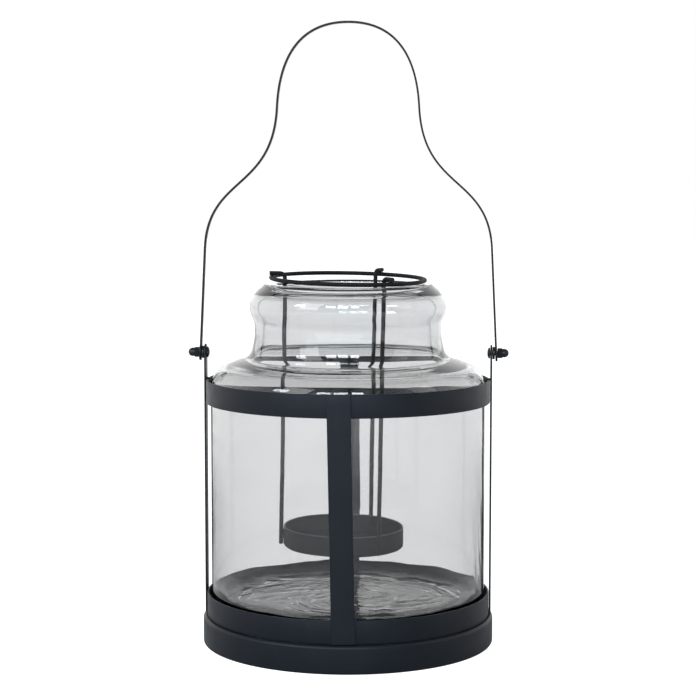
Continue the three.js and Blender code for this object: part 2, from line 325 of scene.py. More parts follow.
def along_x(side, from_x):
    """Lays a body that was turned about Z along the pivot line, growing outward from from_x."""
    turn = Matrix.Rotation(side * math.pi / 2, 4, "Y")
    return Matrix.Translation((side * from_x, 0, PIVOT_Z)) @ turn


def cut(piece, cutter):
    """Cuts a solid out of a piece and removes the cutter."""
    modifier = piece.modifiers.new("cut", "BOOLEAN")
    modifier.object = cutter
    modifier.operation = "DIFFERENCE"
    modifier.solver = "EXACT"
    graph = bpy.context.evaluated_depsgraph_get()
    mesh = bpy.data.meshes.new_from_object(piece.evaluated_get(graph))
    piece.modifiers.remove(modifier)
    piece.data = mesh
    mesh.shade_smooth()
    mesh.set_sharp_from_angle(angle=math.radians(SHARP_ANGLE))
    bpy.data.objects.remove(cutter)


# Frame pieces

def base_pan():
    """An inverted pan of sheet metal with its bottom edge turned in."""
    top, bottom = BASE_TOP_BEND, BASE_BOTTOM_BEND
    lip = BASE_R - BASE_FLANGE
    section = [Vector((0, BASE_H - SHEET))]
    section += arc((BASE_R - top, BASE_H - top), top - SHEET, 90, 0, 5)
    section += arc((BASE_R - bottom, bottom), bottom - SHEET, 0, -90, 3)
    section += arc((lip + EDGE, SHEET - EDGE), EDGE, 90, 180, 3)
    section += arc((lip + EDGE, EDGE), EDGE, 180, 270, 3)
    section += arc((BASE_R - bottom, bottom), bottom, -90, 0, 6)
    section += arc((BASE_R - top, BASE_H - top), top, 0, 90, 9)
    section += [Vector((r, BASE_H)) for r in (90, 60, 30, 0)]
    bm = bmesh.new()
    turned(bm, section, BASE_SIDES)
    return finish_mesh("base_shell", bm)


def hoop(name, node):
    """A hoop of strip steel with softened edges."""
    low, high = box_mm(node)
    section = rounded_section((HOOP_R - SHEET, low.z), (HOOP_R, high.z))
    bm = bmesh.new()
    turned(bm, section, BASE_SIDES, ring=True)
    return finish_mesh(name, bm)


def face_strap(name, node, turn, lean):
    """The flat front or back strap, with softened edges all round. turn and lean are in degrees."""
    low, high = box_mm(node)
    reach = high.z - low.z
    lean = math.radians(lean)
    place = (Matrix.Rotation(math.radians(turn), 4, "Z")
             @ Matrix.Translation((0, -(HOOP_R + GAP + SHEET / 2), (low.z + high.z) / 2))
             @ Matrix.Rotation(-lean, 4, "Y"))
    bm = bmesh.new()
    bmesh.ops.create_cube(bm, size=1)
    bmesh.ops.scale(bm, verts=bm.verts, vec=(STRIP_W, SHEET, reach - STRIP_W * math.sin(lean)))
    upright = [e for e in bm.edges if abs(e.verts[0].co.z - e.verts[1].co.z) > 1]
    bmesh.ops.subdivide_edges(bm, edges=upright, cuts=STRAP_CUTS)
    sharp = [e for e in bm.edges if len(e.link_faces) == 2 and e.calc_face_angle(0) > 1]
    bmesh.ops.bevel(bm, geom=sharp, offset=EDGE, segments=3, affect="EDGES", profile=0.5)
    bmesh.ops.transform(bm, matrix=place, verts=bm.verts)
    return finish_mesh(name, bm)


def side_strap(name, side):
    """A side strap that ends in a round lug with the pivot's hole."""
    half = (SIDE_HIGH.y - SIDE_LOW.y) / 2
    z0 = SIDE_LOW.z
    rise = arc((0, PIVOT_Z), half, 0, 180, 32)
    edge = [Vector((-half, z0)), Vector((half, z0))] + rise
    hole = arc((0, PIVOT_Z), HOLE_R, 0, 360, 32)[:-1]
    curve = bpy.data.curves.new(name, "CURVE")
    curve.dimensions = "2D"
    curve.fill_mode = "BOTH"
    curve.extrude = (SHEET / 2 - EDGE) * MM
    curve.bevel_depth = EDGE * MM
    curve.bevel_resolution = 2
    curve.offset = -EDGE * MM
    for points in (edge, hole):
        spline = curve.splines.new("POLY")
        spline.points.add(len(points) - 1)
        spline.use_cyclic_u = True
        for point, place in zip(spline.points, points):
            point.co = (place.x * MM, place.y * MM, 0, 1)
    drawn = bpy.data.objects.new(name + "_curve", curve)
    bpy.context.scene.collection.objects.link(drawn)
    bpy.context.view_layer.update()
    mesh = bpy.data.meshes.new_from_object(drawn.evaluated_get(bpy.context.evaluated_depsgraph_get()))
    bpy.data.objects.remove(drawn)
    bm = bmesh.new()
    bm.from_mesh(mesh)
    # The outline was drawn flat: its x becomes Y, its y becomes Z, and its thickness lies along X
    stand = Matrix(((0, 0, 1, 0), (1, 0, 0, 0), (0, 1, 0, 0), (0, 0, 0, 1)))
    middle = side * (SIDE_LOW.x + SIDE_HIGH.x) / 2 * MM
    bmesh.ops.transform(bm, matrix=Matrix.Translation((middle, 0, 0)) @ stand, verts=bm.verts)
    bmesh.ops.scale(bm, verts=bm.verts, vec=(1 / MM, 1 / MM, 1 / MM))
    return finish_mesh(name, bm)


def strap_welds():
    """Beads where the side straps meet the upper hoop's top edge."""
    top = box_mm("top_hoop")[1].z
    bm = bmesh.new()
    for side in (-1, 1):
        bead(bm, centre=(side * (HOOP_R - 0.6), -1.2, top + 0.1), size=(1.5, 2.3, 0.9), seed=side * 3)
        bead(bm, centre=(side * (HOOP_R - 0.4), 2.2, top), size=(1.2, 1.9, 0.7), seed=side * 5)
    return finish_mesh("strap_welds", bm)


def hex_radius(angle, across_flats):
    """The radius of a hexagon in a direction."""
    part = (angle + math.pi / 6) % (math.pi / 3) - math.pi / 6
    return across_flats / 2 / math.cos(part)


def cap_nut(name, side):
    """A hexagon with chamfered corners and a domed cap."""
    length = NUT_HIGH.x - NUT_LOW.x
    flats = min(NUT_HIGH.y - NUT_LOW.y, NUT_HIGH.z - NUT_LOW.z)
    corner = flats / math.sqrt(3)
    chamfer_steps = (0.15, 0.3, 0.45, 0.6, 0.8)
    section = [(0, NUT_BORE_L), (HOLE_R, NUT_BORE_L - NUT_BORE_CONE)]
    section += [(HOLE_R, 0), (NUT_FACE_R, 0), (flats / 2, 0)]
    section += [(corner, z) for z in chamfer_steps + (1.2,)]
    section += [(corner, NUT_HEX_L - z) for z in tuple(reversed(chamfer_steps)) + (NUT_EDGE,)]
    fillet_out, fillet_up = NUT_DOME_FILLET
    section += [(NUT_DOME_R + fillet_out, NUT_HEX_L), (NUT_DOME_R, NUT_HEX_L + fillet_up)]
    dome = arc((0, length - NUT_DOME_R), NUT_DOME_R, 0, 90, 12)
    section += [tuple(p) for p in dome][:-1] + [(0, length)]

    def shape(index, angle, radius, z):
        if radius > flats / 2 + 0.01:
            edge = min(z, NUT_HEX_L - z)
            grown = edge * (corner - flats / 2) / NUT_CHAMFER * NUT_CHAMFER_SLOPE
            limit = flats / 2 - NUT_EDGE + grown
            return min(hex_radius(angle, flats), limit), z
        return radius, z

    bm = bmesh.new()
    turned(bm, section, NUT_SIDES, place=along_x(side, NUT_LOW.x), shape=shape)
    return finish_mesh(name, bm, NUT_SHARP_ANGLE)


def washer(name, side):
    """A plain washer between a side strap and the handle's eye."""
    thick = WASHER_HIGH.x - WASHER_LOW.x
    section = rounded_section((HOLE_R, 0), (WASHER_HIGH.z - PIVOT_Z, thick), WASHER_EDGE)
    bm = bmesh.new()
    turned(bm, section, PIVOT_SIDES, ring=True, place=along_x(side, WASHER_LOW.x))
    return finish_mesh(name, bm)


def pivot_screw(name, side):
    """A round-headed screw with a straight slot, put in from inside the strap."""
    length = SCREW_OUT - SCREW_IN
    section = outline((0, 0), [((HEAD_R * 0.9, 0), (HEAD_R, HEAD_L * 0.8))], spacing=0.4)
    section += arc((HEAD_R - HEAD_EDGE, HEAD_L - HEAD_EDGE), HEAD_EDGE, 0, 90, 3)
    section += [Vector((SHANK_R, HEAD_L)), Vector((SHANK_R, length - SHANK_CHAMFER))]
    section += [Vector((SHANK_R - SHANK_CHAMFER, length)), Vector((0, length))]
    bm = bmesh.new()
    turned(bm, section, PIVOT_SIDES, place=along_x(side, SCREW_IN))
    piece = finish_mesh(name, bm)
    slot = bmesh.new()
    bmesh.ops.create_cube(slot, size=1)
    bmesh.ops.scale(slot, verts=slot.verts, vec=(2.2, 2 * HEAD_R + 1, SLOT_W))
    bmesh.ops.rotate(slot, verts=slot.verts, matrix=Matrix.Rotation(math.radians(SLOT_TURN * side), 3, "X"))
    bmesh.ops.translate(slot, verts=slot.verts, vec=(side * (SCREW_IN - 0.3), 0, PIVOT_Z))
    cut(piece, finish_mesh(name + "_slot", slot))
    return piece


# Handle

def bail_path():
    """The strip's centreline from the left pivot over the crown to the right one."""
    foot = Vector((BAIL_OUT - BAIL_T / 2, PIVOT_Z))
    crown = Vector((0, BAIL_TOP - BAIL_T / 2))
    leg_top = Vector(BAIL_LEG_TOP)
    crown_foot = Vector(BAIL_CROWN_FOOT)
    leg_way = (leg_top - foot).normalized()
    lean = math.radians(BAIL_CROWN_LEAN)
    crown_way = Vector((-math.sin(lean), math.cos(lean)))
    start = foot - leg_way * BAIL_EYE_R
    half = outline(start, [
        (leg_top,),
        (leg_top + leg_way * 53, crown_foot - crown_way * 60, crown_foot),
        (crown_foot + crown_way * 40, Vector((31, crown.y)), crown),
    ], spacing=1.5)
    left = [Vector((-p.x, p.y)) for p in half]
    return [Vector((p.x, 0, p.y)) for p in left + list(reversed(half))[1:]]


def bail_handle():
    """A flat strip bent to a bell outline, with a round flattened eye at each end."""
    path = bail_path()
    start = path[0]
    end = path[-1]

    def width(i):
        reach = min((path[i] - start).length, (path[i] - end).length)
        from_pivot = reach - BAIL_EYE_R
        eye = math.sqrt(max(BAIL_EYE_R ** 2 - from_pivot ** 2, 0.02))
        strip = BAIL_W / 2
        if from_pivot > 0:
            mixed = max(BAIL_EYE_BLEND - abs(eye - strip), 0) / BAIL_EYE_BLEND
            return (max(eye, strip) + mixed * mixed * BAIL_EYE_BLEND / 4) / strip
        return eye / strip

    dense = []
    for a, b in zip(path, path[1:]):
        near = min((a - start).length, (a - end).length) < 2 * BAIL_EYE_R + 2
        count = 5 if near else 1
        dense += [a.lerp(b, k / count) for k in range(count)]
    path = dense + [path[-1]]
    section = rounded_section((-BAIL_W / 2, -BAIL_T / 2), (BAIL_W / 2, BAIL_T / 2), BAIL_EDGE)
    bm = bmesh.new()
    swept(bm, path, section, side=Vector((0, 1, 0)), width=width)
    piece = finish_mesh("bail_strip", bm)
    for side in (-1, 1):
        drill = bmesh.new()
        section = [(0, -4), (HOLE_R, -4), (HOLE_R, 4), (0, 4)]
        turned(drill, section, DRILL_SIDES, place=along_x(side, BAIL_OUT))
        cut(piece, finish_mesh("drill", drill))
    return piece


# Glass jar

def jar_outlines():
    """The jar's outside from the middle of the foot up to the rim, and its inside back down."""
    pushed_z = JAR_FOOT + JAR_PUSH_UP
    foot_in, foot_up = JAR_FOOT_BEND
    outside = outline((0, pushed_z), [
        ((JAR_PUSH_R, pushed_z),),
        ((76, pushed_z), (82, JAR_FOOT)),
        ((JAR_R - foot_in, JAR_FOOT),),
        ((JAR_R, JAR_FOOT), (JAR_R, JAR_FOOT + foot_up)),
        ((JAR_R, SHOULDER_Z),),
        ((JAR_R, 191), (96, 197), SHOULDER_TURN),
        ((83, 203.2), (78, 204.9), SHOULDER_END),
        ((70.6, 207.3), (68.5, 211), (NECK_R, NECK_BOTTOM_Z)),
        ((NECK_R, NECK_TOP_Z),),
        ((NECK_R, 234), (COLLAR_R, 236), (COLLAR_R, COLLAR_Z)),
        ((COLLAR_R, 250), (66, 254), (61.5, JAR_RIM - 1.6)),
        ((60.5, JAR_RIM), (RIM_R, JAR_RIM)),
        ((MOUTH_R + MOUTH_BEND, JAR_RIM),),
    ], spacing=JAR_SPACING)
    inner = JAR_R - WALL
    neck = NECK_R - WALL
    collar = COLLAR_R - WALL
    floor = JAR_FOOT + JAR_FLOOR
    inside = outline(outside[-1], [
        ((MOUTH_R, JAR_RIM), (MOUTH_R, JAR_RIM - MOUTH_BEND)),
        ((MOUTH_R, JAR_RIM - 4.8), (56, JAR_RIM - 4.6)),
        ((64, 254.2), (collar, 250.5), (collar, COLLAR_Z)),
        ((collar, 237), (neck, 235), (neck, NECK_TOP_Z)),
        ((neck, NECK_BOTTOM_Z - 0.5),),
        ((66.3, 209.5), (68, 203.6), SHOULDER_END_IN),
        ((77, 201.2), (81.5, 200.2), SHOULDER_TURN_IN),
        ((93.0, 195.2), (inner, 190), (inner, SHOULDER_Z - 0.5)),
        ((inner, JAR_FOOT + 24),),
        ((inner, floor + 3), (92, floor), (76, floor)),
        ((0, floor),),
    ], spacing=JAR_SPACING)
    return outside, inside[1:]


def glass_wave(point, inside):
    """How far the hand-made glass stands off its true outline at a point, in millimetres.

    Broad waves, upright streaks and level bands run all over it. Fine rings lie on the shoulder, and
    slanting furrows stand low on the right side, a little to the front.
    """
    seed = Vector((40, 7, 3)) if inside else Vector((0, 0, 0))
    x, y, z = point
    radius = math.hypot(x, y)
    broad = noise.noise(point / 38 + seed)
    streak = noise.noise(Vector((x / 16, y / 16, z / 90)) + seed)
    level = noise.noise(Vector((x / 60, y / 60, z / 9)) - seed)
    ring = noise.noise(Vector((x / 75, y / 75, radius / 2.6)) + seed)
    shoulder = math.exp(-((z - SHOULDER_RINGS_Z) / 9) ** 2)
    along = math.atan2(y, x) * JAR_R
    furrow = noise.noise(Vector((along / 5.5 + z / 40, z / 55, 2)))
    side = math.exp(-((along - FURROWS_ROUND) / 18) ** 2) * math.exp(-((z - FURROWS_Z) / 42) ** 2)
    wall = WAVE_BROAD * broad + WAVE_STREAK * streak + WAVE_LEVEL * level
    return wall + WAVE_SHOULDER * shoulder * ring + WAVE_FURROW * side * furrow


def floor_wave(x, y):
    """The swirl left in the jar's floor, in millimetres."""
    radius = math.hypot(x, y)
    turn = FLOOR_TURN * math.exp(-(radius / FLOOR_TURN_R) ** 2)
    u = x * math.cos(turn) - y * math.sin(turn)
    v = x * math.sin(turn) + y * math.cos(turn)
    warp = noise.noise(Vector((u / 30, v / 30, 5)))
    swirl = noise.noise(Vector((u / 22 + warp, v / 12 + warp, 1)))
    small = noise.noise(Vector((u / 8 + warp, v / 5, 9)))
    side = math.hypot(x - RINGS_X, y)
    rings = math.exp(-((side - RINGS_R) / 9) ** 2) * math.sin(side * 1.1 + 2 * warp)
    return FLOOR_SWIRL * swirl + FLOOR_SMALL * small + FLOOR_RINGS * rings


def glass_jar():
    """The blown jar. Its foot and rim are even, the outside only dips inward, and the floor swirls."""
    outside, inside = jar_outlines()
    section = outside + inside
    middle = len(outside)
    floor = JAR_FOOT + JAR_FLOOR
    even_z = JAR_FOOT + 14

    def shape(index, angle, radius, z):
        inside = index >= middle
        if z < even_z and not inside:
            return radius, z
        before = section[max(index - 1, 0)]
        after = section[min(index + 1, len(section) - 1)]
        way = (after - before).normalized()
        point = Vector((radius * math.cos(angle), radius * math.sin(angle), z))
        near_rim = min(1, max(0, (JAR_RIM - 1 - z) / 8))
        if inside:
            amount = glass_wave(point, inside) * near_rim
            near_floor = min(1, max(0, (floor + 14 - z) / 12))
            amount += near_floor * floor_wave(point.x, point.y)
        else:
            near_foot = min(1, (z - even_z) / 12)
            amount = min(glass_wave(point, inside) * near_rim * near_foot, 0)
        return radius + way.y * amount, z - way.x * amount

    bm = bmesh.new()
    turned(bm, section, JAR_SIDES, shape=shape)
    return finish_mesh("blown_jar", bm, JAR_SHARP_ANGLE)


# Hanger: drawn upright about the ring's centre, then leaned as one

LEAN = (Matrix.Translation((0, 0, RING_Z)) @ Matrix.Rotation(math.radians(LEAN_FRONT), 4, "X")
        @ Matrix.Rotation(math.radians(LEAN_SIDE), 4, "Y"))


def hanger_ring():
    """The wire ring on the jar's rim, with two weld beads at each hanger wire."""
    bm = bmesh.new()
    section = [(RING_R + u, v) for u, v in circle(WIRE_R, WIRE_SIDES)]
    turned(bm, section, HANGER_SIDES, ring=True, place=LEAN)
    for k, turn in enumerate(HANGER_TURN):
        place = LEAN @ Matrix.Rotation(math.radians(turn), 4, "Z")
        bead(bm, centre=(RING_R - 1.0, 0.9, 1.1), size=(1.1, 1.1, 1.0), seed=2 + k, place=place)
        bead(bm, centre=(RING_R - 0.6, -0.9, 1.0), size=(1.2, 0.9, 1.0), seed=9 + k, place=place)
    return finish_mesh("ring_wire", bm)


def hanger_wire(name, turn, seed):
    """A wire beside the cup that rises and bends outward over the ring."""
    radius = CUP_R + GAP + WIRE_R
    foot = CUP_FLOOR_Z + 1 - RING_Z
    arm = 2 * WIRE_R + GAP
    flat = outline((radius, foot), [
        ((radius, arm - HOOK_BEND),),
        ((radius, arm - HOOK_BEND * 0.45), (radius + HOOK_BEND * 0.45, arm), (radius + HOOK_BEND, arm)),
        ((HOOK_REACH, arm),),
    ], spacing=1.2)
    path = []
    for p in flat:
        free = min(1, (p.y - foot - CUP_H) / 25, (arm - p.y) / 25)
        sway = WIRE_SWAY * max(free, 0) * noise.noise(Vector((seed, 0, p.y / 38)))
        path.append(Vector((p.x + sway, sway * 0.7, p.y)))
    place = LEAN @ Matrix.Rotation(math.radians(turn), 4, "Z")
    bm = bmesh.new()
    swept(bm, path, circle(WIRE_R, WIRE_SIDES), place=place)
    bead(bm, centre=(CUP_R + 0.4, 1.3, foot + 9), size=(0.9, 0.8, 2.2), seed=seed, place=place)
    bead(bm, centre=(CUP_R + 0.4, -1.3, foot + 5), size=(0.9, 0.8, 2.0), seed=seed + 4, place=place)
    return finish_mesh(name, bm)


def candle_cup():
    """A shallow pressed cup with a rounded foot and a softened rim."""
    z0 = CUP_FLOOR_Z - RING_Z
    inner = CUP_R - SHEET
    section = [Vector((0, z0))]
    foot, floor, rim = CUP_FOOT_BEND, CUP_FLOOR_BEND, CUP_RIM_BEND
    section += arc((CUP_R - foot, z0 + foot), foot, -90, 0, 6)
    section += arc((CUP_R - rim, z0 + CUP_H - rim), rim, 0, 90, 4)
    section += arc((inner + rim, z0 + CUP_H - rim), rim, 90, 180, 4)
    section += arc((inner - floor, z0 + SHEET + floor), floor, 0, -90, 5)
    section += [Vector((r, z0 + SHEET)) for r in (30, 15, 0)]
    bm = bmesh.new()
    turned(bm, section, HANGER_SIDES, place=LEAN)
    return finish_mesh("cup_shell", bm)


# Materials

class Nodes:
    """A new node material and short ways to add its nodes."""

    def __init__(self, name):
        self.material = bpy.data.materials.new(name)
        self.material.use_nodes = True
        self.tree = self.material.node_tree
        self.shader = self.tree.nodes["Principled BSDF"]
        self.output = self.tree.nodes["Material Output"]
        self.coords = self.tree.nodes.new("ShaderNodeTexCoord").outputs["Object"]

    def add(self, kind, **inputs):
        """Adds a node and sets or links its inputs. A space in an input's name is written as _."""
        node = self.tree.nodes.new(kind)
        for key, value in inputs.items():
            socket = node.inputs[key.replace("_", " ")]
            if isinstance(value, bpy.types.NodeSocket):
                self.link(value, socket)
            else:
                socket.default_value = value
        return node

    def link(self, source, target):
        self.tree.links.new(source, target)

    def stretched(self, x, y, z):
        """Object coordinates scaled by axis, for streaks."""
        node = self.add("ShaderNodeMapping", Vector=self.coords)
        node.inputs["Scale"].default_value = (x, y, z)
        return node.outputs["Vector"]

    def noise(self, size_mm, detail=3, coords=None):
        """Noise from 0 to 1 whose cells are about size_mm across."""
        source = coords if coords is not None else self.coords
        node = self.add("ShaderNodeTexNoise", Vector=source, Scale=1 / (size_mm * MM), Detail=detail)
        return node.outputs["Fac"]

    def spread(self, value, low, high, start=0.3, end=0.7):
        """Maps a noise value from start..end to low..high."""
        node = self.add("ShaderNodeMapRange", Value=value)
        for socket, number in zip(("From Min", "From Max", "To Min", "To Max"), (start, end, low, high)):
            node.inputs[socket].default_value = number
        return node.outputs["Result"]

    def colours(self, value, *stops):
        """A colour ramp from (position, (r, g, b)) stops."""
        node = self.add("ShaderNodeValToRGB", Fac=value)
        ramp = node.color_ramp
        while len(ramp.elements) < len(stops):
            ramp.elements.new(0.5)
        for element, (position, colour) in zip(ramp.elements, stops):
            element.position = position
            element.color = (*colour, 1)
        return node.outputs["Color"]

    def mix(self, factor, first, second):
        """A colour between first and second. The numbers are the mix node's sockets for colours."""
        node = self.tree.nodes.new("ShaderNodeMix")
        node.data_type = "RGBA"
        for index, value in ((0, factor), (6, first), (7, second)):
            if isinstance(value, bpy.types.NodeSocket):
                self.link(value, node.inputs[index])
            else:
                node.inputs[index].default_value = value
        return node.outputs[2]

    def bump(self, height, depth_mm, under=None):
        """A bump of a stated depth, on top of another one."""
        node = self.add("ShaderNodeBump", Height=height, Distance=depth_mm * MM, Strength=1.0)
        if under is not None:
            self.link(under, node.inputs["Normal"])
        return node.outputs["Normal"]


def paint(name, dark, light, worn, rough, peel_mm, depth_mm, specular):
    """Painted or powder-coated steel: mottled tone, orange peel, and thin paint on the edges.

    rough is the lowest and highest roughness, and peel_mm and depth_mm are the orange peel's size.
    Returns the material's Nodes.
    """
    n = Nodes(name)
    cloud = n.noise(26, detail=4)
    speck = n.noise(2.4, detail=5)
    tone = n.colours(cloud, (0.32, dark), (0.68, light))
    dusty = n.mix(n.spread(speck, 0, 0.35, start=0.6, end=0.8), tone, (*worn, 1))
    edge = n.add("ShaderNodeNewGeometry").outputs["Pointiness"]
    wear = n.add("ShaderNodeMath", Value=n.spread(edge, 0, 1, start=0.53, end=0.6))
    wear.operation = "MULTIPLY"
    n.link(n.spread(n.noise(7, detail=3), 0.15, 0.8), wear.inputs[1])
    n.link(n.mix(wear.outputs["Value"], dusty, (*worn, 1)), n.shader.inputs["Base Color"])
    n.link(n.spread(n.noise(11, detail=4), *rough), n.shader.inputs["Roughness"])
    peel = n.bump(n.noise(peel_mm, detail=2), depth_mm)
    n.link(n.bump(n.noise(14, detail=2), depth_mm * 2.5, peel), n.shader.inputs["Normal"])
    n.shader.inputs["Specular IOR Level"].default_value = specular
    return n


def hanger_finish(name):
    """The matt black paint of the hanger's ring, wires and cup."""
    return paint(name, dark=(0.0040, 0.0044, 0.0052), light=(0.0066, 0.0069, 0.0078),
                 worn=(0.020, 0.020, 0.020), rough=(0.50, 0.62), peel_mm=1.6, depth_mm=0.03,
                 specular=HANGER_GLOSS)


def painted_cup_shade(n, gloss):
    """Makes a paint dull inside the cup, as painted shade, and glossier along the cup's rim."""
    centre = LEAN @ Vector((0, 0, CUP_FLOOR_Z + CUP_H - RING_Z))
    moved = n.add("ShaderNodeVectorMath", Vector=n.coords)
    moved.operation = "SUBTRACT"
    moved.inputs[1].default_value = centre * MM
    along = n.add("ShaderNodeVectorMath", Vector=moved.outputs["Vector"])
    along.operation = "DOT_PRODUCT"
    along.inputs[1].default_value = LEAN.to_3x3() @ UP
    split = n.add("ShaderNodeSeparateXYZ", Vector=moved.outputs["Vector"])
    flat = n.add("ShaderNodeCombineXYZ", X=split.outputs["X"], Y=split.outputs["Y"])
    distance = n.add("ShaderNodeVectorMath", Vector=flat.outputs["Vector"])
    distance.operation = "LENGTH"
    wall = (CUP_R - SHEET / 2) * MM
    fade = 0.3 * MM
    # Less gloss inside the cup is painted shade; the rim gets more gloss
    outside = n.spread(distance.outputs["Value"], gloss * CUP_SHADE_GLOSS, gloss, wall - fade, wall + fade)
    rim = n.spread(along.outputs["Value"], 0, 1, start=-0.9 * MM, end=-0.4 * MM)
    total = n.add("ShaderNodeMath", Value=outside)
    n.link(rim, total.inputs[1])
    n.link(total.outputs["Value"], n.shader.inputs["Specular IOR Level"])
    return n


def jar_glass():
    """Clear blown glass with a faint tint; the lighter tint at the neck is painted light. It lets most
    light through to what stands behind it, instead of casting a black shadow."""
    n = Nodes("jar_glass")
    height = n.add("ShaderNodeSeparateXYZ", Vector=n.coords).outputs["Z"]
    cloud = n.noise(60, detail=2)
    body = n.colours(cloud, (0.35, (0.702, 0.705, 0.709)), (0.65, (0.724, 0.724, 0.723)))
    # The neck's lighter tint is painted light, not a different glass
    neck = n.colours(cloud, (0.35, (0.724, 0.735, 0.744)), (0.65, (0.748, 0.753, 0.752)))
    tint = n.mix(n.spread(height, 0, 1, start=0.17, end=0.2), body, neck)
    n.link(tint, n.shader.inputs["Base Color"])
    n.shader.inputs["IOR"].default_value = GLASS_IOR
    n.shader.inputs["Transmission Weight"].default_value = 1
    n.link(n.spread(n.noise(30, detail=3), 0, 0.02, start=0.5, end=0.8), n.shader.inputs["Roughness"])
    ripple = n.bump(n.noise(7, detail=2, coords=n.stretched(1, 1, 0.5)), depth_mm=0.012)
    n.link(ripple, n.shader.inputs["Normal"])
    clear = n.add("ShaderNodeBsdfTransparent", Color=(0.80, 0.82, 0.825, 1))
    path = n.tree.nodes.new("ShaderNodeLightPath")
    mixed = n.tree.nodes.new("ShaderNodeMixShader")
    n.link(path.outputs["Is Shadow Ray"], mixed.inputs[0])
    n.link(n.shader.outputs["BSDF"], mixed.inputs[1])
    n.link(clear.outputs["BSDF"], mixed.inputs[2])
    n.link(mixed.outputs["Shader"], n.output.inputs["Surface"])
    return n.material


frame_paint = paint("frame_paint", dark=(0.0042, 0.0060, 0.0090), light=(0.0054, 0.0076, 0.0110),
                    worn=(0.018, 0.020, 0.024), rough=(0.38, 0.45), peel_mm=1.1, depth_mm=0.005,
                    specular=0.17).material
hanger_paint = hanger_finish("hanger_paint").material
# The cup's paint is dulled inside as painted shade
cup_paint = painted_cup_shade(hanger_finish("cup_paint"), HANGER_GLOSS).material
hardware_paint = paint("pivot_paint", dark=(0.0040, 0.0045, 0.0060), light=(0.0070, 0.0078, 0.0100),
                       worn=(0.03, 0.032, 0.035), rough=(0.26, 0.36), peel_mm=0.9, depth_mm=0.012,
                       specular=0.25).material
glass = jar_glass()


# Every piece with its body, its material and the CAD node that it stands for

def add_piece(piece, body, slot, material, *nodes):
    """Gives a piece its material and its body, and hides the CAD nodes that it stands for. slot is not
    used.
    """
    piece.data.materials.clear()
    piece.data.materials.append(material)
    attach(piece, body)
    if nodes:
        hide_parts(*nodes)


add_piece(base_pan(), "frame", "frame_paint", frame_paint, "base_pan")
add_piece(hoop("upper_hoop", "top_hoop"), "frame", "frame_paint", frame_paint, "top_hoop")
add_piece(hoop("lower_hoop", "bottom_hoop"), "frame", "frame_paint", frame_paint, "bottom_hoop")
add_piece(face_strap("strap_front", "front_strap", 0, FRONT_STRAP_LEAN), "frame", "frame_paint",
          frame_paint, "front_strap")
add_piece(face_strap("strap_back", "back_strap", BACK_STRAP_TURN, 0), "frame", "frame_paint",
          frame_paint, "back_strap")
add_piece(strap_welds(), "frame", "frame_paint", frame_paint)
for word, side in (("left", -1), ("right", 1)):
    add_piece(side_strap(f"strap_{word}", side), "frame", "frame_paint", frame_paint,
              f"{word}_side_strap")
    add_piece(pivot_screw(f"screw_{word}", side), "frame", "pivot_hardware", hardware_paint,
              f"{word}_pivot_screw")
    add_piece(washer(f"washer_{word}", side), "frame", "pivot_hardware", hardware_paint,
              f"{word}_pivot_washer")
    add_piece(cap_nut(f"nut_{word}", side), "frame", "pivot_hardware", hardware_paint,
              f"{word}_cap_nut")
add_piece(bail_handle(), "handle", "frame_paint", frame_paint, "bail_handle")
add_piece(glass_jar(), "jar", "jar_glass", glass, "glass_jar")
add_piece(hanger_ring(), "hanger", "hanger_paint", hanger_paint, "hanger_ring")
for number, turn in enumerate(HANGER_TURN, 1):
    add_piece(hanger_wire(f"hook_wire_{number}", turn, 13.7 * number), "hanger", "hanger_paint",
              hanger_paint, f"hanger_wire_{number}")
add_piece(candle_cup(), "hanger", "hanger_paint", cup_paint, "candle_cup")


# Studio

def by_ray(tree, camera, through, otherwise):
    """A value for what the camera sees straight, one for what it sees through the glass without
    any reflection, and one for the light that falls on things."""
    path = tree.nodes.new("ShaderNodeLightPath")
    bounced = tree.nodes.new("ShaderNodeMath")
    bounced.operation = "ADD"
    tree.links.new(path.outputs["Glossy Depth"], bounced.inputs[0])
    tree.links.new(path.outputs["Diffuse Depth"], bounced.inputs[1])
    clear = tree.nodes.new("ShaderNodeMath")
    clear.operation = "SUBTRACT"
    clear.use_clamp = True
    tree.links.new(path.outputs["Is Transmission Ray"], clear.inputs[0])
    tree.links.new(bounced.outputs["Value"], clear.inputs[1])
    value = otherwise
    # Inputs 0, 2 and 3 of this mix node are its factor and the two numbers it mixes
    for choice, amount in ((clear.outputs["Value"], through), (path.outputs["Is Camera Ray"], camera)):
        pick = tree.nodes.new("ShaderNodeMix")
        tree.links.new(choice, pick.inputs[0])
        pick.inputs[3].default_value = amount
        if isinstance(value, bpy.types.NodeSocket):
            tree.links.new(value, pick.inputs[2])
        else:
            pick.inputs[2].default_value = value
        value = pick.outputs[0]
    return value


def map_range(tree, source, low, high, out_low, out_high):
    """Maps low..high softly to out_low..out_high."""
    node = tree.nodes.new("ShaderNodeMapRange")
    node.interpolation_type = "SMOOTHSTEP"
    tree.links.new(source, node.inputs["Value"])
    for socket, number in zip(("From Min", "From Max", "To Min", "To Max"), (low, high, out_low, out_high)):
        node.inputs[socket].default_value = number
    return node.outputs["Result"]


